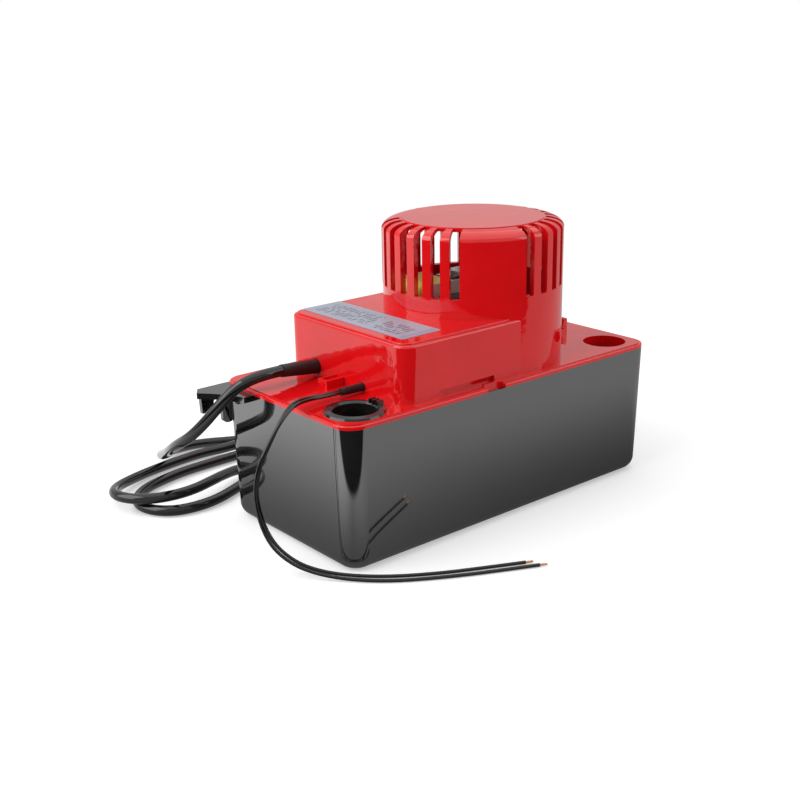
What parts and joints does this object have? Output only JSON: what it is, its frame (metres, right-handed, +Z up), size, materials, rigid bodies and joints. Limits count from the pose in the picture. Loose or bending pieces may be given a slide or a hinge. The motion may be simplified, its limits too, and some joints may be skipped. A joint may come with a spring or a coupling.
{
  "type": "condensate pump",
  "caption": "Condensate pump: open-sump tank with hanging ears, lid with inlets, shaded-pole motor under a slotted cover, float switch linkage, check valve with hose barb, mains cord.",
  "frame": {"origin": "floor level under the middle of the tank's footprint", "axes": "+X along the tank towards the discharge end, +Y across it towards the wall side with the ears, +Z up"},
  "size_m": [0.3648, 0.3409, 0.1965],
  "materials": {
    "bare_copper": "gloss",
    "bearing_bronze": "satin",
    "black_plastic": "satin",
    "black_rubber": "satin",
    "coil_copper": "gloss",
    "contact_brass": "gloss",
    "float_foam": "matte",
    "hose_vinyl": "gloss",
    "label_foil": "satin",
    "lamination_steel": "satin",
    "nylon_white": "satin",
    "red_plastic": "gloss",
    "tank_plastic": "gloss",
    "zinc_steel": "satin"
  },
  "bodies": {
    "housing": {"cable_clamp": "red_plastic", "check_valve_body": "black_plastic", "check_valve_gasket": "black_rubber", "check_valve_nut": "black_plastic", "coil_bobbin": "nylon_white", "coil_winding": "coil_copper", "cord_strain_relief": "black_rubber", "discharge_barb": "black_plastic", "discharge_hose": "hose_vinyl", "hank_tie": "black_plastic", "inlet_bushing": "black_rubber", "inlet_plate": "black_plastic", "lead_sleeve": "black_rubber", "lead_strips": "bare_copper", "lower_bearing": "bearing_bronze", "lower_bracket": "zinc_steel", "motor_cover": "red_plastic", "motor_screws": "zinc_steel", "name_plate": "label_foil", "pivot_pin": "zinc_steel", "plug_blades": "contact_brass", "plug_body": "black_rubber", "power_cord": "black_rubber", "power_cord_hank": "black_rubber", "pump_column": "black_plastic", "pump_screws": "zinc_steel", "pump_volute": "black_plastic", "run_switch": "black_plastic", "safety_switch": "black_plastic", "stator_core": "lamination_steel", "switch_bracket": "black_plastic", "switch_lead_a": "black_rubber", "switch_lead_b": "black_rubber", "tank": "tank_plastic", "tank_ear_far": "tank_plastic", "tank_ear_near": "tank_plastic", "tank_lid": "red_plastic", "upper_bearing": "bearing_bronze", "upper_bracket": "zinc_steel"},
    "rotor": {"rotor_core": "lamination_steel", "motor_shaft": "zinc_steel", "cooling_fan": "black_plastic", "shaft_slinger": "black_rubber", "impeller": "nylon_white"},
    "float": {"float_block": "float_foam", "float_rod": "nylon_white"},
    "lever": {"switch_lever": "black_plastic"},
    "poppet": {"check_valve_poppet": "black_rubber"},
    "run_button": {"run_switch_button": "nylon_white"},
    "safety_button": {"safety_switch_button": "nylon_white"}
  },
  "joints": [
    {"name": "rotor_spin", "type": "hinge", "parent": "housing", "child": "rotor", "pos_m": [0.027, 0, 0.1], "axis": [0, 0, 1], "continuous": true},
    {"name": "float_lift", "type": "slide", "parent": "housing", "child": "float", "axis": [0, 0, 1], "range_m": [0, 0.01995]},
    {"name": "lever_rock", "type": "hinge", "parent": "housing", "child": "lever", "pos_m": [-0.02305, -0.041, 0.1135], "axis": [0, 1, 0], "range_deg": [0, 24.01]},
    {"name": "valve_lift", "type": "slide", "parent": "housing", "child": "poppet", "axis": [0, 0, 1], "range_m": [0, 0.0035]},
    {"name": "run_button", "type": "slide", "parent": "housing", "child": "run_button", "axis": [0, 0, 1], "range_m": [0, 0.001], "stiffness_N_per_m": 200, "springref_m": -0.0005},
    {"name": "safety_button", "type": "slide", "parent": "housing", "child": "safety_button", "axis": [0, 0, 1], "range_m": [0, 0.001], "stiffness_N_per_m": 200, "springref_m": -0.0005}
  ],
  "couplings": [
    {"joint": "lever_rock", "follows": "float_lift", "rad_per_m": 20.986}
  ]
}
